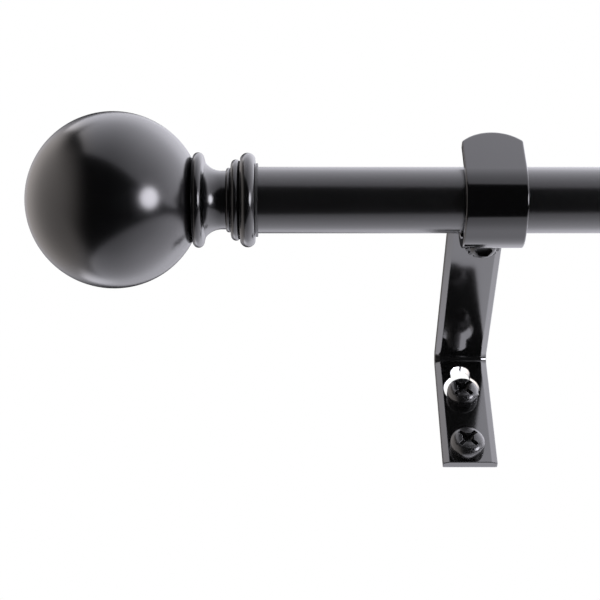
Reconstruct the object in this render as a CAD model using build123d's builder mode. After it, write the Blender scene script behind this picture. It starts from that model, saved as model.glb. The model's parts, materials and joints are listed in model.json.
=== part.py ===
"""Curtain rod set: two telescoping tubes, two ball finials and two adjustable wall brackets.

Millimetres. +X runs along the rod to the right, +Y goes into the wall, +Z is up.
The origin is on the wall, behind the middle of the left bracket, midway up between its two wall screws.
"""
import os
from math import sqrt

from build123d import *

# ---- Driving dimensions ------------------------------------------------------------------
# Rod
tube_od = 15.875            # 5/8 in tube
tube_wall = 0.7
inner_od = 13.0
inner_wall = 0.6
outer_length = 381.0        # 15 in
closed_length = 457.2       # 18 in between the finials
inner_length = 380.0
rod_height = 7.1            # rod axis above the origin
end_plug_depth = 12.0
lip_radius = 8.8            # thin lip of an end plug
lip_thickness = 0.5

# Brackets
strip_width = 14.65
strip = 2.2                 # thickness of the bracket strip
edge_round = 0.35           # rounding of the strip's long edges
crown_width = 1.6           # the wall bracket's visible edges fall away over this width
crown_drop = 0.55
projection = 78.1           # wall to rod axis
tube_to_bracket = 55.7      # finial seat to the middle of the bracket
bend_inside = 1.5
arm_underside = 15.3        # above the rod axis
arm_front_gap = 13.0        # rod axis to the front end of the arm
plate_below_rod = 21.3
travel = 10.0               # adjustment of the projection

# Cradle, measured from the rod axis
cradle_front = 10.25
cradle_back = 10.56
cradle_bottom = 10.36
cradle_front_bend = 10.1    # outside radii of its two bottom bends
cradle_back_bend = 8.0
cradle_offset = 0.35        # it is clamped a little off the bracket's centre line
lip_corner_height = 9.5
lip_apex_height = 12.8
tang_bend = 1.2
tang_end = 36.6
tang_gap = 0.05             # between the tang and the arm under it

# Clamp screw, washer and nut
clamp_behind_rod = 30.0
clamp_offset = 2.2          # the slot is off the strip's centre line
clamp_radius = 1.95
clamp_hole = 2.03
clamp_head_radius = 3.4
clamp_head_height = 2.1
socket_radius = 2.35        # corner to centre of the hexagon socket
socket_depth = 1.5
slot_width = 4.6
washer_radius = 4.7
washer_thickness = 0.5
washer_teeth = 16
nut_size = 7.0
nut_height = 2.4
clamp_tail = 1.2            # screw past the nut

# Wall plate holes and wall screws
screw_spacing = 17.5        # between the two wall screws
screw_offset = -0.5         # the holes are a little off the strip's centre line
keyhole_above_rod = 4.0     # centre of the keyhole's round end
keyhole_radius = 4.95
keyhole_slot_width = 5.4
keyhole_top = 12.35         # above the rod axis
lower_hole_radius = 2.6
shank_radius = 2.1
neck_radius = 2.35          # of the shank under the head; it tapers to the shank inside the plate
root_radius = 1.45
wall_screw_length = 25.4    # 1 in, under the head
plain_shank = 9.0
thread_pitch = 1.6
lower_head_radius = 4.65
upper_head_radius = 4.3
wall_head_height = 3.8
wall_recess = 6.3           # across the arms of the Phillips recess
recess_arm = 1.15

# Finial, measured along the rod from the end of the tube
ball_radius = 21.15
ball_centre = 34.4
ball_shell = 0.8
spigot_radius = 8.0
spigot_end = 18.0
stud_radius = 2.95
stud_bore = 3.02
stud_depth = 10.5           # into the end plug
stud_reach = 12.5           # into the neck
stud_pitch = 1.0

# ---- Worked out from them ----------------------------------------------------------------
rod_y = -projection
rod_z = rod_height
half_width = strip_width / 2
left_seat = -tube_to_bracket
right_seat = left_seat + closed_length
right_bracket_x = right_seat - tube_to_bracket
right_rise = (tube_od - inner_od) / 2     # lifts the right bracket so that the rod lies level
plate_front = -strip
seat_radius = 9.7                         # where the last ring of the neck meets the ball

os.makedirs("parts", exist_ok=True)


def save(part, name):
    """Label one finished piece and write it as a STEP file."""
    part.label = name
    export_step(part, f"parts/{name}.step")


def rod_plane(seat, side):
    """Plane through the rod axis: local x runs outward from the tube's end, local y is up."""
    return Plane(origin=(seat, rod_y, rod_z), x_dir=(side, 0, 0), z_dir=(0, -side, 0))


def rod_axis(seat):
    return Axis((seat, rod_y, rod_z), (1, 0, 0))


def ball_surface(radius_at):
    """Distance of the ball's near surface from the tube's end, at one radius."""
    return ball_centre - sqrt(ball_radius**2 - radius_at**2)


# ---- Tubes -------------------------------------------------------------------------------
with BuildPart() as outer_tube:
    with BuildSketch(Plane.YZ.offset(left_seat)):
        with Locations((rod_y, rod_z)):
            Circle(tube_od / 2)
            Circle(tube_od / 2 - tube_wall, mode=Mode.SUBTRACT)
    extrude(amount=outer_length)
save(outer_tube.part, "outer_tube")

with BuildPart() as inner_tube:
    with BuildSketch(Plane.YZ.offset(right_seat)):
        with Locations((rod_y, rod_z)):
            Circle(inner_od / 2)
            Circle(inner_od / 2 - inner_wall, mode=Mode.SUBTRACT)
    extrude(amount=-inner_length)
save(inner_tube.part, "inner_tube")

# The glide is a split plastic sleeve pressed into the mouth of the outer tube.
glide_length = 18.0
glide_collar = 0.9
glide_clearance = 0.06
mouth = left_seat + outer_length
with BuildPart() as tube_glide:
    with BuildSketch(Plane.YZ.offset(mouth - glide_length)):
        with Locations((rod_y, rod_z)):
            Circle(tube_od / 2 - tube_wall - 0.02)
    extrude(amount=glide_length)
    with BuildSketch(Plane.YZ.offset(mouth)):
        with Locations((rod_y, rod_z)):
            Circle(tube_od / 2)
    extrude(amount=glide_collar)
    with BuildSketch(Plane.YZ.offset(mouth - glide_length)):
        with Locations((rod_y, rod_z)):
            Circle(inner_od / 2 + glide_clearance)
    extrude(amount=glide_length + glide_collar, mode=Mode.SUBTRACT)
    chamfer(tube_glide.edges().group_by(Axis.X)[-1].sort_by(SortBy.RADIUS)[-1:], length=0.4)
save(tube_glide.part, "tube_glide")


# ---- End plugs ---------------------------------------------------------------------------
def end_plug(seat, side, bore):
    """Plug with a threaded hole; its thin lip covers the end of the tube."""
    with BuildPart() as plug:
        with BuildSketch(rod_plane(seat, side)):
            with BuildLine():
                Polyline(
                    (-end_plug_depth, stud_bore),
                    (lip_thickness, stud_bore),
                    (lip_thickness, lip_radius),
                    (0, lip_radius),
                    (0, bore - 0.02),
                    (1 - end_plug_depth, bore - 0.02),
                    (-end_plug_depth, bore - 1.0),
                    close=True,
                )
            make_face()
        revolve(axis=rod_axis(seat))
    return plug.part


save(end_plug(left_seat, -1, tube_od / 2 - tube_wall), "left_end_plug")
save(end_plug(right_seat, 1, inner_od / 2 - inner_wall), "right_end_plug")


# ---- Finials -----------------------------------------------------------------------------
def finial_ball(seat, side):
    """Hollow ball with a round hole for the neck's spigot."""
    inside = ball_radius - ball_shell
    hole = spigot_radius + 0.02
    with BuildPart() as ball:
        with BuildSketch(rod_plane(seat, side)):
            with BuildLine():
                near_out = (ball_surface(hole), hole)
                near_in = (ball_centre - sqrt(inside**2 - hole**2), hole)
                far_out = (ball_centre + ball_radius, 0)
                far_in = (ball_centre + inside, 0)
                ThreePointArc(near_out, (ball_centre, ball_radius), far_out)
                Line(far_out, far_in)
                ThreePointArc(far_in, (ball_centre, inside), near_in)
                Line(near_in, near_out)
            make_face()
        revolve(axis=rod_axis(seat))
    return ball.part


def finial_neck(seat, side):
    """Turned neck: two rings at the tube, a waisted cove, and the large ring at the ball."""
    base = 0.7
    with BuildPart() as neck:
        with BuildSketch(rod_plane(seat, side)):
            with BuildLine():
                Polyline((stud_reach, 0), (stud_reach, stud_bore), (base, stud_bore), (base, 10.2))
                ThreePointArc((base, 10.2), (2.45, 11.3), (4.15, 10.2))
                Line((4.15, 10.2), (4.15, 9.0))
                ThreePointArc((4.15, 9.0), (5.3, 9.7), (6.4, 8.7))
                Line((6.4, 8.7), (6.4, 7.5))
                ThreePointArc((6.4, 7.5), (7.1, 7.7), (7.6, 7.0))
                Line((7.6, 7.0), (8.8, 7.0))
                ThreePointArc((8.8, 7.0), (10.9, 7.55), (12.55, 8.96))
                Line((12.55, 8.96), (12.9, 10.3))
                ThreePointArc((12.9, 10.3), (14.2, 11.4), (15.5, 10.4))
                Line((15.5, 10.4), (ball_surface(seat_radius), seat_radius))
                ThreePointArc(
                    (ball_surface(seat_radius), seat_radius),
                    (ball_surface(8.9), 8.9),
                    (ball_surface(spigot_radius), spigot_radius),
                )
                Line((ball_surface(spigot_radius), spigot_radius), (spigot_end, spigot_radius))
                Line((spigot_end, spigot_radius), (spigot_end, 0))
                Line((spigot_end, 0), (stud_reach, 0))
            make_face()
        revolve(axis=rod_axis(seat))
    return neck.part


def finial_stud(seat, side):
    """Threaded stud, with its thread drawn as rings."""
    crest = stud_radius
    root = stud_radius - 0.5
    rings = int((stud_depth + stud_reach - 1.0) / stud_pitch)
    points = [(-stud_depth, 0), (-stud_depth, root)]
    for ring in range(rings):
        start = -stud_depth + 0.2 + ring * stud_pitch
        points += [(start, root), (start + 0.35 * stud_pitch, crest)]
        points += [(start + 0.55 * stud_pitch, crest), (start + 0.9 * stud_pitch, root)]
    points += [(stud_reach - 0.1, root), (stud_reach - 0.1, 0)]
    with BuildPart() as stud:
        with BuildSketch(rod_plane(seat, side)):
            with BuildLine():
                Polyline(*points, close=True)
            make_face()
        revolve(axis=rod_axis(seat))
    return stud.part


for side_name, seat, side in (("left", left_seat, -1), ("right", right_seat, 1)):
    save(finial_ball(seat, side), f"{side_name}_finial_ball")
    save(finial_neck(seat, side), f"{side_name}_finial_neck")
    save(finial_stud(seat, side), f"{side_name}_finial_stud")


# ---- Bent strip pieces of a bracket ------------------------------------------------------
def side_face(piece, x):
    """The strip's flat side at this x."""
    return piece.faces().filter_by(Plane.YZ).sort_by(lambda face: abs(face.center().X - x))[0]


def long_edges(piece, x):
    """Edges that run along the strip at this x, without the short ones across its ends."""
    return [
        edge for edge in side_face(piece, x).edges()
        if edge.geom_type == GeomType.CIRCLE or edge.length > strip + 0.3
    ]


def round_long_edges(piece, x):
    """Round the strip's four long edges."""
    fillet(long_edges(piece, x - half_width) + long_edges(piece, x + half_width), radius=edge_round)


def wall_bracket(x, rise):
    """Wall plate with a keyhole and a lower hole, and the arm that reaches forward from its top."""
    axis_z = rod_z                      # height of the rod axis, before the rise
    arm_low = axis_z + arm_underside
    arm_top = arm_low + strip
    arm_front = rod_y + arm_front_gap
    plate_low = axis_z - plate_below_rod
    keyhole_x = x + screw_offset
    keyhole_z = axis_z + keyhole_above_rod
    slot_end_z = axis_z + keyhole_top - keyhole_slot_width / 2
    with BuildPart() as bracket:
        with BuildSketch(Plane.YZ.offset(x - half_width)) as profile:
            with BuildLine():
                Polyline(
                    (arm_front, arm_top),
                    (0, arm_top),
                    (0, plate_low),
                    (plate_front, plate_low),
                    (plate_front, arm_low),
                    (arm_front, arm_low),
                    close=True,
                )
            make_face()
            fillet(profile.vertices().sort_by_distance((0, arm_top))[0], radius=bend_inside + strip)
            fillet(profile.vertices().sort_by_distance((plate_front, arm_low))[0], radius=bend_inside)
        extrude(amount=strip_width)
        # The edges of the visible side fall away more gently than those of the hidden side
        for edge_x in (x - half_width, x + half_width):
            visible = [
                edge for edge in long_edges(bracket, edge_x)
                if edge.center().Y < plate_front + 0.01 and edge.center().Z < arm_low + 0.01
            ]
            chamfer(visible, length=crown_drop, length2=crown_width, reference=side_face(bracket, edge_x))
        hidden = [
            edge for edge_x in (x - half_width, x + half_width) for edge in long_edges(bracket, edge_x)
            if edge.center().Y > -crown_drop or edge.center().Z > arm_top - crown_drop
        ]
        fillet(hidden, radius=edge_round)
        # Keyhole and lower hole, through the plate
        with BuildSketch(Plane.XZ):
            with Locations((keyhole_x, keyhole_z)):
                Circle(keyhole_radius)
            with Locations((keyhole_x, (keyhole_z + slot_end_z) / 2)):
                Rectangle(keyhole_slot_width, slot_end_z - keyhole_z)
            with Locations((keyhole_x, slot_end_z)):
                Circle(keyhole_slot_width / 2)
            with Locations((keyhole_x, -screw_spacing / 2)):
                Circle(lower_hole_radius)
        extrude(amount=strip, mode=Mode.SUBTRACT)
        # Slot for the clamp screw, through the arm
        clamp_y = rod_y + clamp_behind_rod
        with BuildSketch(Plane.XY.offset(arm_low)):
            with Locations((x + clamp_offset, clamp_y - travel / 2)):
                SlotOverall(travel + slot_width, slot_width, rotation=90)
        extrude(amount=strip, mode=Mode.SUBTRACT)
    return bracket.part.moved(Location((0, 0, rise)))


def cradle(bracket_x, rise):
    """U that holds the rod, with an arched front lip and a tang that lies on the arm."""
    x = bracket_x + cradle_offset
    low_out = rod_z - cradle_bottom
    low_in = low_out + strip
    front_out = rod_y - cradle_front
    front_in = front_out + strip
    back_out = rod_y + cradle_back
    back_in = back_out - strip
    lip_top = rod_z + lip_apex_height
    tang_low = rod_z + arm_underside + strip + tang_gap
    tang_top = tang_low + strip
    tang_back = rod_y + tang_end
    corner_z = rod_z + lip_corner_height
    with BuildPart() as holder:
        with BuildSketch(Plane.YZ.offset(x - half_width)) as profile:
            with BuildLine():
                Polyline(
                    (front_out, lip_top),
                    (front_out, low_out),
                    (back_out, low_out),
                    (back_out, tang_low),
                    (tang_back, tang_low),
                    (tang_back, tang_top),
                    (back_in, tang_top),
                    (back_in, low_in),
                    (front_in, low_in),
                    (front_in, lip_top),
                    close=True,
                )
            make_face()
            bends = (
                ((front_out, low_out), cradle_front_bend),
                ((back_out, low_out), cradle_back_bend),
                ((front_in, low_in), cradle_front_bend - strip),
                ((back_in, low_in), cradle_back_bend - strip),
                ((back_out, tang_low), tang_bend),
                ((back_in, tang_top), tang_bend + strip),
            )
            for corner, radius in bends:
                fillet(profile.vertices().sort_by_distance(corner)[0], radius=radius)
        extrude(amount=strip_width)
        round_long_edges(holder, x)
        # Arched end of the front lip
        with BuildSketch(Plane.XZ.offset(-front_in)):
            with BuildLine():
                ThreePointArc((x - half_width, corner_z), (x, lip_top), (x + half_width, corner_z))
                Polyline(
                    (x + half_width, corner_z),
                    (x + half_width + 1, corner_z),
                    (x + half_width + 1, lip_top + 1),
                    (x - half_width - 1, lip_top + 1),
                    (x - half_width - 1, corner_z),
                    (x - half_width, corner_z),
                )
            make_face()
        extrude(amount=strip, mode=Mode.SUBTRACT)
        # Arched end of the tang
        with BuildSketch(Plane.XY.offset(tang_low)):
            with BuildLine():
                tang_side = tang_back - (lip_apex_height - lip_corner_height)
                ThreePointArc((x - half_width, tang_side), (x, tang_back), (x + half_width, tang_side))
                Polyline(
                    (x + half_width, tang_side),
                    (x + half_width + 1, tang_side),
                    (x + half_width + 1, tang_back + 1),
                    (x - half_width - 1, tang_back + 1),
                    (x - half_width - 1, tang_side),
                    (x - half_width, tang_side),
                )
            make_face()
        extrude(amount=strip, mode=Mode.SUBTRACT)
        # Hole for the clamp screw
        with BuildSketch(Plane.XY.offset(tang_low)):
            with Locations((bracket_x + clamp_offset, rod_y + clamp_behind_rod)):
                Circle(clamp_hole)
        extrude(amount=strip, mode=Mode.SUBTRACT)
    return holder.part.moved(Location((0, 0, rise)))


# ---- Screws, washers and nuts ------------------------------------------------------------
def headed_screw(head_plane, head_radius, head_height, shank_points):
    """Pan head and shank on a plane whose z points out of the head; shank_points are (depth, radius)."""
    rim = 0.42 * head_height
    crown_radius = 0.86 * head_radius
    crown_height = 0.82 * head_height
    across = head_plane.x_dir
    outward = head_plane.z_dir
    side_plane = Plane(origin=head_plane.origin, x_dir=across, z_dir=across.cross(outward))
    with BuildPart() as screw:
        with BuildSketch(side_plane):
            with BuildLine():
                top = (0, head_height)
                shoulder = (crown_radius, crown_height)
                Spline(top, shoulder, (head_radius, rim), tangents=((1, 0), (0, -1)))
                outline = [(head_radius, rim), (head_radius, 0.15), (head_radius - 0.15, 0)]
                outline += [(radius, -depth) for depth, radius in shank_points]
                Polyline(*outline, top)
            make_face()
        revolve(axis=Axis(head_plane.origin, outward))
    return screw.part


def phillips_recess(head_plane, head_height):
    """Cutter for a Phillips recess: two tapered blades crossed at 45 degrees, and a cone between them."""
    above = head_height + 0.5
    floor = 0.38 * head_height
    wall_top = 0.8 * head_height
    reach = wall_recess / 2
    tip = 0.4 * reach
    with BuildPart() as cutter:
        for turn in (45, 135):
            blade = Plane(head_plane.location * Rot(0, 0, turn) * Plane.XZ.location)
            with BuildSketch(blade):
                Polygon(
                    (-reach, above), (reach, above), (reach, wall_top),
                    (tip, floor), (-tip, floor), (-reach, wall_top), align=None,
                )
            extrude(amount=recess_arm / 2, both=True)
        with BuildSketch(head_plane.offset(above)):
            Circle(1.5 * recess_arm)
        extrude(amount=floor - above, taper=18)
    return cutter.part


def hexagon_socket(head_plane, head_height):
    """Cutter for a hexagon socket."""
    with BuildPart() as cutter:
        with BuildSketch(head_plane.offset(head_height + 0.5)):
            RegularPolygon(radius=socket_radius, side_count=6)
        extrude(amount=-socket_depth - 0.5)
    return cutter.part


def wood_shank():
    """Depths and radii of a wood screw: tapered neck, plain shank, thread as rings, and point."""
    points = [(0, neck_radius), (strip + 0.3, shank_radius), (plain_shank, shank_radius)]
    points += [(plain_shank + 0.5, root_radius)]
    tip_length = 4.0
    turns = int((wall_screw_length - plain_shank - tip_length - 0.5) / thread_pitch)
    for turn in range(turns):
        depth = plain_shank + 0.5 + turn * thread_pitch
        points += [(depth + 0.25 * thread_pitch, root_radius)]
        points += [(depth + 0.55 * thread_pitch, shank_radius)]
        points += [(depth + 0.75 * thread_pitch, root_radius)]
    points += [(wall_screw_length - tip_length, root_radius), (wall_screw_length, 0)]
    return points


def machine_shank(length):
    """Depths and radii of the clamp screw: plain under the head, then ring thread."""
    pitch = 0.7
    root = clamp_radius - 0.35
    points = [(0, clamp_radius), (1.5, clamp_radius), (1.6, root)]
    for turn in range(int((length - 2.2) / pitch)):
        depth = 1.6 + turn * pitch
        points += [(depth + 0.25 * pitch, clamp_radius), (depth + 0.45 * pitch, clamp_radius)]
        points += [(depth + 0.7 * pitch, root), (depth + pitch, root)]
    points += [(length, root), (length, 0)]
    return points


def lock_washer(x, rise):
    """Flat ring with teeth round its rim, between the screw's head and the arm."""
    top = rod_z + arm_underside - 0.03
    with BuildPart() as washer:
        with BuildSketch(Plane.XY.offset(top)):
            with Locations((x + clamp_offset, rod_y + clamp_behind_rod)):
                Circle(washer_radius - 0.8)
                with PolarLocations(0, washer_teeth):
                    with Locations((washer_radius - 0.6, 0)):
                        Rectangle(1.2, 0.9)
                Circle(clamp_radius + 0.1, mode=Mode.SUBTRACT)
        extrude(amount=-washer_thickness)
    return washer.part.moved(Location((0, 0, rise)))


def clamp_nut(x, rise):
    """Square nut that lies on the tang."""
    low = rod_z + arm_underside + 2 * strip + tang_gap
    with BuildPart() as nut:
        with BuildSketch(Plane.XY.offset(low)):
            with Locations((x + clamp_offset, rod_y + clamp_behind_rod)):
                Rectangle(nut_size, nut_size)
                Circle(clamp_hole, mode=Mode.SUBTRACT)
        extrude(amount=nut_height)
        chamfer(nut.edges().filter_by(Axis.Z), length=0.5)
    return nut.part.moved(Location((0, 0, rise)))


for side_name, x, rise in (("left", 0, 0), ("right", right_bracket_x, right_rise)):
    save(wall_bracket(x, rise), f"{side_name}_wall_bracket")
    save(cradle(x, rise), f"{side_name}_cradle")

    head_seat = rod_z + rise + arm_underside - 0.03 - washer_thickness
    clamp_plane = Plane(
        origin=(x + clamp_offset, rod_y + clamp_behind_rod, head_seat),
        x_dir=(1, 0, 0), z_dir=(0, 0, -1),
    )
    clamp_length = washer_thickness + 0.03 + 2 * strip + tang_gap + nut_height + clamp_tail
    clamp_shank = machine_shank(clamp_length)
    clamp_screw = headed_screw(clamp_plane, clamp_head_radius, clamp_head_height, clamp_shank)
    save(clamp_screw - hexagon_socket(clamp_plane, clamp_head_height), f"{side_name}_clamp_screw")
    save(lock_washer(x, rise), f"{side_name}_lock_washer")
    save(clamp_nut(x, rise), f"{side_name}_clamp_nut")

    # Both heads bear on the front of the plate, the upper one on the keyhole's lower edge.
    wall_screws = (
        ("upper", screw_spacing / 2, upper_head_radius),
        ("lower", -screw_spacing / 2, lower_head_radius),
    )
    for place, z, head_radius in wall_screws:
        screw_plane = Plane(
            origin=(x + screw_offset, plate_front, z + rise), x_dir=(1, 0, 0), z_dir=(0, -1, 0),
        )
        wall_screw = headed_screw(screw_plane, head_radius, wall_head_height, wood_shank())
        recess = phillips_recess(screw_plane, wall_head_height)
        save(wall_screw - recess, f"{side_name}_{place}_wall_screw")
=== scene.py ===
# %% [markdown]
# # A telescoping curtain rod with ball finials
# The steel and plastic pieces come ready from the CAD frame. This lesson gives them their finishes:
# satin black powder coat, semi-gloss black paint, oiled screws and moulded plastic. It then sets
# a white studio round them, whose soft boxes draw the long reflections on the tube.

# %% Load the frame
import json
import math

import bpy
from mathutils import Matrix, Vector


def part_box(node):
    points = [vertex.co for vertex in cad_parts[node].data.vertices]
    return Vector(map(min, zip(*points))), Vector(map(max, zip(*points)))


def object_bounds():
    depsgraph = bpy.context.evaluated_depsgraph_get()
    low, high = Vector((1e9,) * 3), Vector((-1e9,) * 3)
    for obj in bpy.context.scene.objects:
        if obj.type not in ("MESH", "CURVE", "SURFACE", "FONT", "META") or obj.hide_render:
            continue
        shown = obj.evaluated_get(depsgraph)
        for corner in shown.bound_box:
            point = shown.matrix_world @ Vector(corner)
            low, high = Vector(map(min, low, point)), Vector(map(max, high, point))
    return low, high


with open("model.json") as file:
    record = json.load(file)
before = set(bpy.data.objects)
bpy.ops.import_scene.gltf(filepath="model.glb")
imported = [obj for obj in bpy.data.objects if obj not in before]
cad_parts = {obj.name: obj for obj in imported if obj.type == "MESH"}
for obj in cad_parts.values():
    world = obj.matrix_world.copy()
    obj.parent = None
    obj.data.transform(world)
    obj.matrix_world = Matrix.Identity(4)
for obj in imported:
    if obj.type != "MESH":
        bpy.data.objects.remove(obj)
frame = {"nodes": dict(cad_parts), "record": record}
cad_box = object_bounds()
MM = 0.001

# %% [markdown]
# ## Where things are
# Every length is taken from the frame, so that the scene follows the part if a size changes. The
# rod's axis is the middle of the outer tube, and the bracket's middle is the middle of its plate.

# %% Places taken from the frame
tube_low, tube_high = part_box("outer_tube")
rod_centre = (tube_low + tube_high) / 2
rod_radius = (tube_high.z - tube_low.z) / 2
bracket_low, bracket_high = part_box("left_wall_bracket")
bracket_x = (bracket_low.x + bracket_high.x) / 2
print("rod radius", round(rod_radius / MM, 2), "mm, left bracket at x", round(bracket_x / MM, 2))

# %% [markdown]
# ## Shader groups
# Two effects are shared by several finishes. Powder coat and paint both dry with a faint ripple,
# called orange peel, and both gather fine dust and handling marks that change how sharply they
# reflect. Each effect is one node group, so each finish only chooses its own scale and strength.


# %% Helpers for node groups
def add_socket(tree, name, direction, kind, default=None):
    """One named input or output on a node group."""
    socket = tree.interface.new_socket(name=name, in_out=direction, socket_type=kind)
    if default is not None:
        socket.default_value = default
    return socket


def math_node(tree, operation, first, second=0.0):
    """A Math node; each operand is a number or a socket."""
    node = tree.nodes.new("ShaderNodeMath")
    node.operation = operation
    for slot, value in enumerate((first, second)):
        if isinstance(value, bpy.types.NodeSocket):
            tree.links.new(value, node.inputs[slot])
        else:
            node.inputs[slot].default_value = value
    return node.outputs[0]


def blend_value(tree, factor, low, high):
    """Map Range from 0..1 to low..high."""
    node = tree.nodes.new("ShaderNodeMapRange")
    tree.links.new(factor, node.inputs["Value"])
    for name, value in (("To Min", low), ("To Max", high)):
        if isinstance(value, bpy.types.NodeSocket):
            tree.links.new(value, node.inputs[name])
        else:
            node.inputs[name].default_value = value
    return node.outputs["Result"]


def noise(tree, coordinates, scale, detail=2.0, roughness=0.5):
    """Noise texture; its scale is a number or a socket."""
    node = tree.nodes.new("ShaderNodeTexNoise")
    tree.links.new(coordinates, node.inputs["Vector"])
    if isinstance(scale, bpy.types.NodeSocket):
        tree.links.new(scale, node.inputs["Scale"])
    else:
        node.inputs["Scale"].default_value = scale
    node.inputs["Detail"].default_value = detail
    node.inputs["Roughness"].default_value = roughness
    return node.outputs["Fac"]


# %% Orange peel: the ripple of a sprayed or baked coat
orange_peel = bpy.data.node_groups.new("orange peel", "ShaderNodeTree")
add_socket(orange_peel, "Ripples per metre", "INPUT", "NodeSocketFloat", 900.0)
add_socket(orange_peel, "Height", "OUTPUT", "NodeSocketFloat")
peel_in = orange_peel.nodes.new("NodeGroupInput")
peel_out = orange_peel.nodes.new("NodeGroupOutput")
peel_place = orange_peel.nodes.new("ShaderNodeTexCoord").outputs["Object"]
broad = noise(orange_peel, peel_place, peel_in.outputs[0], detail=1.0)
fine_scale = math_node(orange_peel, "MULTIPLY", peel_in.outputs[0], 3.1)
fine = noise(orange_peel, peel_place, fine_scale, detail=2.0)
fine_part = math_node(orange_peel, "MULTIPLY", fine, 0.35)
orange_peel.links.new(math_node(orange_peel, "ADD", broad, fine_part), peel_out.inputs["Height"])
print("group:", orange_peel.name)

# %% Handling haze: slow patches where a finish is a little duller
handling_haze = bpy.data.node_groups.new("handling haze", "ShaderNodeTree")
add_socket(handling_haze, "Sharp roughness", "INPUT", "NodeSocketFloat", 0.2)
add_socket(handling_haze, "Dull roughness", "INPUT", "NodeSocketFloat", 0.28)
add_socket(handling_haze, "Roughness", "OUTPUT", "NodeSocketFloat")
add_socket(handling_haze, "Mask", "OUTPUT", "NodeSocketFloat")
haze_in = handling_haze.nodes.new("NodeGroupInput")
haze_out = handling_haze.nodes.new("NodeGroupOutput")
haze_place = handling_haze.nodes.new("ShaderNodeTexCoord").outputs["Object"]
patches = noise(handling_haze, haze_place, 38.0, detail=4.0, roughness=0.6)
speckle = noise(handling_haze, haze_place, 1700.0, detail=1.0)
patch_part = math_node(handling_haze, "MULTIPLY", patches, 0.75)
speckle_part = math_node(handling_haze, "MULTIPLY", speckle, 0.25)
haze_mask = math_node(handling_haze, "ADD", patch_part, speckle_part)
haze_roughness = blend_value(
    handling_haze, haze_mask, haze_in.outputs["Sharp roughness"], haze_in.outputs["Dull roughness"]
)
handling_haze.links.new(haze_roughness, haze_out.inputs["Roughness"])
handling_haze.links.new(haze_mask, haze_out.inputs["Mask"])
print("group:", handling_haze.name)

# %% [markdown]
# ## Finishes
# The rod and the finials are powder coated: a black pigment under a smooth dielectric skin, so
# nearly all that is seen of it is reflection, weak face-on and strong at a glancing angle. The
# bracket strip has the same colour in a slightly glossier paint. A Principled shader with a very
# dark base and the refractive index of paint gives both.


# %% What every finish shares
def patchy_finish(name, colour, darkest, lightest, sharp, dull):
    """A material whose gloss and tone both follow the handling haze."""
    finish = bpy.data.materials.new(name)
    finish.use_nodes = True
    tree = finish.node_tree
    shader = tree.nodes["Principled BSDF"]
    haze = tree.nodes.new("ShaderNodeGroup")
    haze.node_tree = handling_haze
    haze.inputs["Sharp roughness"].default_value = sharp
    haze.inputs["Dull roughness"].default_value = dull
    tree.links.new(haze.outputs["Roughness"], shader.inputs["Roughness"])
    tone = tree.nodes.new("ShaderNodeMix")
    tone.data_type = "RGBA"
    tone.inputs["A"].default_value = (*(darkest * value for value in colour), 1)
    tone.inputs["B"].default_value = (*(lightest * value for value in colour), 1)
    tree.links.new(haze.outputs["Mask"], tone.inputs["Factor"])
    tree.links.new(tone.outputs["Result"], shader.inputs["Base Color"])
    return finish, tree, shader


# %% Black coats
def black_coat(name, colour, sharp, dull, ripples, ripple_height, index=1.5, edge_radius=0.0):
    """A black coat with orange peel, patchy gloss, a faint change of tone and softly rounded edges."""
    finish, tree, shader = patchy_finish(name, colour, 0.75, 1.3, sharp, dull)
    shader.inputs["IOR"].default_value = index
    shader.inputs["Metallic"].default_value = 0.0
    peel = tree.nodes.new("ShaderNodeGroup")
    peel.node_tree = orange_peel
    peel.inputs["Ripples per metre"].default_value = ripples
    bump = tree.nodes.new("ShaderNodeBump")
    bump.inputs["Strength"].default_value = 1.0
    bump.inputs["Distance"].default_value = ripple_height
    tree.links.new(peel.outputs["Height"], bump.inputs["Height"])
    if edge_radius:
        soft_edges = tree.nodes.new("ShaderNodeBevel")
        soft_edges.samples = 8
        soft_edges.inputs["Radius"].default_value = edge_radius
        tree.links.new(soft_edges.outputs["Normal"], bump.inputs["Normal"])
    tree.links.new(bump.outputs["Normal"], shader.inputs["Normal"])
    return finish


# %% [markdown]
# The holes of the wall plates are punched, so their walls are bare steel. A mask made of boxes round
# the holes, a little inside both faces of the plate, turns the paint into metal there and nowhere else.


# %% Bare metal inside the holes of the plates
def in_boxes(tree, boxes):
    """Mask that is one inside any of the boxes, each a centre and a half size on the part."""
    place = tree.nodes.new("ShaderNodeSeparateXYZ")
    tree.links.new(tree.nodes.new("ShaderNodeTexCoord").outputs["Object"], place.inputs[0])
    mask = None
    for centre, half_size in boxes:
        inside = None
        for axis, middle, reach in zip(place.outputs, centre, half_size):
            near = tree.nodes.new("ShaderNodeMath")
            near.operation = "COMPARE"
            tree.links.new(axis, near.inputs[0])
            near.inputs[1].default_value = middle
            near.inputs[2].default_value = reach
            near = near.outputs[0]
            inside = near if inside is None else math_node(tree, "MULTIPLY", inside, near)
        mask = inside if mask is None else math_node(tree, "MAXIMUM", mask, inside)
    return mask


def bare_in(finish, boxes):
    """Let bare steel show through a coat inside the boxes."""
    tree = finish.node_tree
    shader = tree.nodes["Principled BSDF"]
    mask = in_boxes(tree, boxes)
    colour = tree.nodes.new("ShaderNodeMix")
    colour.data_type = "RGBA"
    tree.links.new(mask, colour.inputs["Factor"])
    tree.links.new(shader.inputs["Base Color"].links[0].from_socket, colour.inputs["A"])
    colour.inputs["B"].default_value = (0.75, 0.75, 0.74, 1)
    tree.links.new(colour.outputs["Result"], shader.inputs["Base Color"])
    tree.links.new(mask, shader.inputs["Metallic"])


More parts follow.
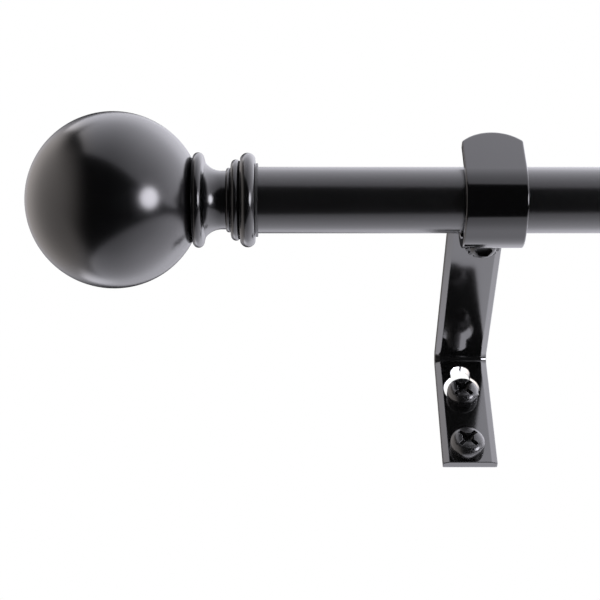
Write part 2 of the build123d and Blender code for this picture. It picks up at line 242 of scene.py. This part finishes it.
plate_thickness = 2.2 * MM
skin = 0.05 * MM                          # left painted at each face of the plate
holes_off_middle = -0.5 * MM
holes_half_width = 5.2 * MM
holes_start = 2.0 * MM                    # above the lower end of the plate
holes_half_height = 16.5 * MM
hole_boxes = []
for side in ("left", "right"):
    low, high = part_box(f"{side}_wall_bracket")
    centre = (
        (low.x + high.x) / 2 + holes_off_middle,
        -plate_thickness / 2,
        low.z + holes_start + holes_half_height,
    )
    hole_boxes.append((centre, (holes_half_width, plate_thickness / 2 - skin, holes_half_height)))
print("bare metal in", len(hole_boxes), "plates")

# %% The coats of this part
rod_black = (0.0030, 0.0030, 0.0032)
deep_black = (0.0014, 0.0014, 0.0016)
plate_black = (0.0045, 0.0045, 0.0047)
rod_coat = black_coat("satin black powder coat", rod_black, 0.20, 0.27, 800.0, 1.2e-6)
finial_coat = black_coat("satin black finial coat", deep_black, 0.17, 0.24, 800.0, 1.2e-6, 1.42)
cradle_coat = black_coat(
    "semi-gloss cradle coat", deep_black, 0.08, 0.13, 700.0, 1.2e-6, 1.46, edge_radius=0.45 * MM
)
bracket_paint = black_coat(
    "semi-gloss black paint", plate_black, 0.07, 0.12, 700.0, 1.5e-6, 1.65, edge_radius=0.4 * MM
)
bare_in(bracket_paint, hole_boxes)
print("coats:", rod_coat.name, "|", finial_coat.name, "|", cradle_coat.name, "|", bracket_paint.name)

# %% [markdown]
# The screws are black oxide: thin, slightly oily, with grey steel showing through a little. The
# lock washers are black zinc and the studs bright zinc. The glide and the plugs are moulded nylon.

# %% Screws, washers and plastics
oxide = (0.006, 0.006, 0.0065)
screw_black = black_coat("black oxide screws", oxide, 0.20, 0.34, 1500.0, 2.0e-6, 1.5, 0.15 * MM)
clamp_black = black_coat("dull black oxide", oxide, 0.30, 0.42, 1500.0, 2.0e-6, 1.4, 0.15 * MM)
washer_zinc = black_coat("black zinc lock washer", oxide, 0.30, 0.42, 1500.0, 2.0e-6, 1.5, 0.10 * MM)
nylon_black = black_coat("moulded black nylon", (0.012, 0.012, 0.012), 0.38, 0.5, 1200.0, 3.0e-6)
stud_zinc, _, stud_shader = patchy_finish("zinc plated thread", (0.62, 0.62, 0.60), 0.8, 1.0, 0.25, 0.4)
stud_shader.inputs["Metallic"].default_value = 1.0

finish_of = {
    "rod_black": rod_coat,
    "finial_black": finial_coat,
    "bracket_black": bracket_paint,
    "screw_black": screw_black,
    "washer_steel": washer_zinc,
    "plain_steel": stud_zinc,
    "glide_plastic": nylon_black,
    "plug_plastic": nylon_black,
}
finish_of_piece = {"cradle": cradle_coat, "clamp_screw": clamp_black}
for subpart in frame["record"]["subparts"]:
    node = frame["nodes"][subpart["node"]]
    piece = subpart["node"].split("_", 1)[1]         # the name without left or right
    finish = finish_of_piece.get(piece, finish_of[subpart["material_slot"]])
    node.data.materials.clear()
    node.data.materials.append(finish)

# %% [markdown]
# ## The studio
# Black gloss shows only what surrounds it. The room is white, with one dark opening on the side
# from which the part is seen: that opening is the black band along the tube. Two long panels
# above and below it close towards the right and meet behind the part, a dimmer panel stands at the
# left, and one small lamp makes the round spark on the ball. Between the long panels and the left
# one runs a dark seam, which goes on round behind. All of it is a pattern of directions in the
# world, along three axes: rightward, downward across the line of sight, and toward the viewer.

# %% Axes of the studio
view_elevation = math.radians(43.0)       # of the camera's own axis
rod_elevation = math.radians(47.0)        # of the line from the camera to the rod


def away_at(elevation):
    """Direction from the viewer to the part, looking up at this angle."""
    return Vector((0, math.cos(elevation), math.sin(elevation)))


def down_at(elevation):
    """Direction that looks downward across that line of sight."""
    return Vector((0, math.sin(elevation), -math.cos(elevation)))


world = bpy.data.worlds.new("white studio")
bpy.context.scene.world = world
world.use_nodes = True
world.cycles.sampling_method = "NONE"     # each reflected ray reads the pattern itself
sky = world.node_tree
sky.nodes.clear()
direction = sky.nodes.new("ShaderNodeTexCoord").outputs["Generated"]


def along(vector):
    """How far the looked-at direction points along a fixed direction."""
    node = sky.nodes.new("ShaderNodeVectorMath")
    node.operation = "DOT_PRODUCT"
    sky.links.new(direction, node.inputs[0])
    node.inputs[1].default_value = vector
    return node.outputs["Value"]


def ramp(value, start, end, low=0.0, high=1.0):
    """Smooth change from low to high while the value goes from start to end."""
    node = sky.nodes.new("ShaderNodeMapRange")
    node.interpolation_type = "SMOOTHSTEP"
    sky.links.new(value, node.inputs["Value"])
    node.inputs["From Min"].default_value = start
    node.inputs["From Max"].default_value = end
    node.inputs["To Min"].default_value = low
    node.inputs["To Max"].default_value = high
    return node.outputs["Result"]


def times(first, second):
    """Product in the world's pattern."""
    return math_node(sky, "MULTIPLY", first, second)


def plus(first, second):
    """Sum in the world's pattern."""
    return math_node(sky, "ADD", first, second)


rightward = along((1, 0, 0))
downward = along(down_at(rod_elevation))
toward = along(-away_at(rod_elevation))
leftward = times(rightward, -1.0)
print("studio faces", tuple(round(value, 2) for value in -away_at(rod_elevation)))

# %% The two long panels
# Where they begin above and below, and how much sooner towards the right
closing_above = times(rightward, plus(0.38, times(rightward, 0.5)))
closing_below = times(rightward, plus(0.45, times(rightward, 0.1)))
upper_panel = ramp(plus(times(downward, -1.0), closing_above), 0.725, 0.785)
lower_panel = ramp(plus(downward, closing_below), 0.748, 0.808)
back_light = ramp(toward, -0.3, -0.6)
long_panels = math_node(sky, "MAXIMUM", upper_panel, lower_panel)
panels = math_node(sky, "MAXIMUM", long_panels, back_light)
# Where they end, at the dark seam: further right behind the part, and sooner still below
panel_end = ramp(toward, -0.65, -1.0, -0.49, -0.03)
sooner_below = times(ramp(downward, -0.2, 0.2), ramp(toward, -0.3, -0.65, 0.0, 0.11))
before_end = ramp(plus(leftward, plus(panel_end, sooner_below)), -0.05, 0.03, 1.0, 0.0)
# How bright they are: more to the right, less close by, far behind and below
side_level = ramp(rightward, -0.05, 0.6, 3.0, 4.35)
near_fade = ramp(toward, 0.85, -0.3, 0.42, 1.0)
back_fade = times(ramp(toward, -0.6, -0.98, 1.0, 0.55), ramp(toward, -0.92, -1.0, 1.0, 0.7))
loss = plus(ramp(toward, 0.2, -0.2, -0.06, -0.17), ramp(toward, -0.6, -0.95, 0.0, -0.17))
lower_loss = times(ramp(downward, -0.2, 0.2), loss)
panel_light = times(times(panels, before_end), times(side_level, plus(1.0, lower_loss)))
panel_light = times(panel_light, times(near_fade, back_fade))

# %% The left panel
# Its edge leans to the right behind the part and reaches further below, and is softest in front
left_lean = ramp(toward, -0.05, -1.1, 0.0, 0.42)
low_side = times(ramp(downward, 0.1, 0.6), ramp(toward, 0.7, 0.0))
left_low_reach = times(low_side, ramp(toward, -0.6, -0.9, 0.35, 0.10))
left_place = plus(plus(leftward, left_lean), left_low_reach)
left_middle = 0.70
left_sharpness = ramp(toward, 0.3, -0.4, 1.0, 2.0)
left_edge = plus(left_middle, times(plus(left_place, -left_middle), left_sharpness))
left_level = times(ramp(toward, -0.45, -1.0, 1.65, 0.82), ramp(downward, -0.6, 0.6, 1.15, 0.85))
left_panel = times(ramp(left_edge, 0.45, 0.98), left_level)

# %% The lamp, and all of it together
lamp_direction = (
    Vector((1, 0, 0)) * 0.79 - down_at(rod_elevation) * 0.042 - away_at(rod_elevation) * 0.61
).normalized()
lamp_half_angle = math.radians(12.0)
lamp_edge = (math.cos(lamp_half_angle * 1.15), math.cos(lamp_half_angle * 0.85))
lamp_spot = ramp(along(lamp_direction), *lamp_edge, 0.0, 24.0)
dim_opening = 0.03
warm_panel = (1.08, 1.0, 0.97)
cool_panel = (1.0, 0.99, 1.08)
pattern = plus(plus(panel_light, left_panel), plus(lamp_spot, dim_opening))

light_path = sky.nodes.new("ShaderNodeLightPath")
reflections = sky.nodes.new("ShaderNodeBackground")
tint = sky.nodes.new("ShaderNodeMix")
tint.data_type = "RGBA"
tint.inputs["A"].default_value = (*warm_panel, 1)
tint.inputs["B"].default_value = (*cool_panel, 1)
sky.links.new(ramp(rightward, -0.7, -0.2), tint.inputs["Factor"])
sky.links.new(tint.outputs["Result"], reflections.inputs["Color"])
sky.links.new(pattern, reflections.inputs["Strength"])
plain_light = sky.nodes.new("ShaderNodeBackground")
plain_light.inputs["Strength"].default_value = 0.8
white = sky.nodes.new("ShaderNodeBackground")
white.inputs["Strength"].default_value = 1.0
for background in (plain_light, white):
    background.inputs["Color"].default_value = (1, 1, 1, 1)


def choose(condition, otherwise, chosen):
    """One of two backgrounds, by the kind of ray."""
    node = sky.nodes.new("ShaderNodeMixShader")
    sky.links.new(condition, node.inputs["Fac"])
    sky.links.new(otherwise, node.inputs[1])
    sky.links.new(chosen, node.inputs[2])
    return node.outputs[0]


lit = choose(light_path.outputs["Is Glossy Ray"], plain_light.outputs[0], reflections.outputs[0])
seen = choose(light_path.outputs["Is Camera Ray"], lit, white.outputs[0])
world_output = sky.nodes.new("ShaderNodeOutputWorld")
sky.links.new(seen, world_output.inputs["Surface"])
print("world:", world.name, "with", len(sky.nodes), "nodes")

# %% [markdown]
# A pale floor lies far below. It shows white to the camera and keeps a faint shadow of the part.

# %% Floor
floor_depth = 1.7
floor_half = 30.0
floor_mesh = bpy.data.meshes.new("floor")
floor_mesh.from_pydata(
    [(x * floor_half, y * floor_half, -floor_depth) for x, y in ((-1, -1), (1, -1), (1, 1), (-1, 1))],
    [],
    [(0, 1, 2, 3)],
)
floor = bpy.data.objects.new("floor", floor_mesh)
bpy.context.scene.collection.objects.link(floor)
floor_white = bpy.data.materials.new("pale floor")
floor_white.use_nodes = True
floor_white.node_tree.nodes["Principled BSDF"].inputs["Base Color"].default_value = (0.9, 0.9, 0.9, 1)
floor_white.node_tree.nodes["Principled BSDF"].inputs["Roughness"].default_value = 0.9
floor_mesh.materials.append(floor_white)
floor.visible_glossy = False              # reflections show the studio's pattern instead

# %% [markdown]
# The brackets are screwed to a white wall, which hides the screws' shanks. The wall shows only its
# front: seen from behind it is clear, so that the backs of the plates can be looked at too.

# %% Wall
wall_mesh = bpy.data.meshes.new("wall")
wall_half = 0.9
wall_middle = (cad_box[0].x + cad_box[1].x) / 2
wall_mesh.from_pydata(
    [(wall_middle + x * wall_half, 0.0, z * wall_half) for x, z in ((-1, -1), (1, -1), (1, 1), (-1, 1))],
    [],
    [(0, 1, 2, 3)],
)
wall = bpy.data.objects.new("wall", wall_mesh)
bpy.context.scene.collection.objects.link(wall)
wall_white = bpy.data.materials.new("white wall")
wall_white.use_nodes = True
wall_tree = wall_white.node_tree
wall_tree.nodes.clear()
wall_front = wall_tree.nodes.new("ShaderNodeEmission")
wall_clear = wall_tree.nodes.new("ShaderNodeBsdfTransparent")
wall_mix = wall_tree.nodes.new("ShaderNodeMixShader")
wall_output = wall_tree.nodes.new("ShaderNodeOutputMaterial")
wall_path = wall_tree.nodes.new("ShaderNodeLightPath")
wall_side = wall_tree.nodes.new("ShaderNodeNewGeometry")
wall_seen = math_node(
    wall_tree, "MULTIPLY", wall_path.outputs["Is Camera Ray"],
    math_node(wall_tree, "SUBTRACT", 1.0, wall_side.outputs["Backfacing"]),
)
wall_tree.links.new(wall_seen, wall_mix.inputs["Fac"])
wall_tree.links.new(wall_clear.outputs[0], wall_mix.inputs[1])
wall_tree.links.new(wall_front.outputs[0], wall_mix.inputs[2])
wall_tree.links.new(wall_mix.outputs[0], wall_output.inputs["Surface"])
wall_mesh.materials.append(wall_white)
print("wall faces", tuple(wall_mesh.polygons[0].normal))

# %% [markdown]
# ## Camera
# The part hangs above eye level. The camera looks up at it from in front, level from side to side.

# %% Camera
lens = 87.0
distance = 347.0 * MM
aim_below = 23.9 * MM
bracket_right_of_centre = 45.65 * MM
rod_point = Vector((bracket_x - bracket_right_of_centre, rod_centre.y, rod_centre.z))
aim = rod_point + down_at(view_elevation) * aim_below
camera_data = bpy.data.cameras.new("camera")
camera_data.lens = lens
camera_data.sensor_width = 36.0
camera_data.clip_start = 0.01
camera_data.clip_end = 100.0
camera = bpy.data.objects.new("camera", camera_data)
bpy.context.scene.collection.objects.link(camera)
camera.location = aim - away_at(view_elevation) * distance
camera.rotation_euler = (math.radians(90) + view_elevation, 0, 0)
bpy.context.scene.camera = camera
bpy.context.scene.view_settings.view_transform = "Standard"
print("camera at", [round(value / MM) for value in camera.location], "mm")
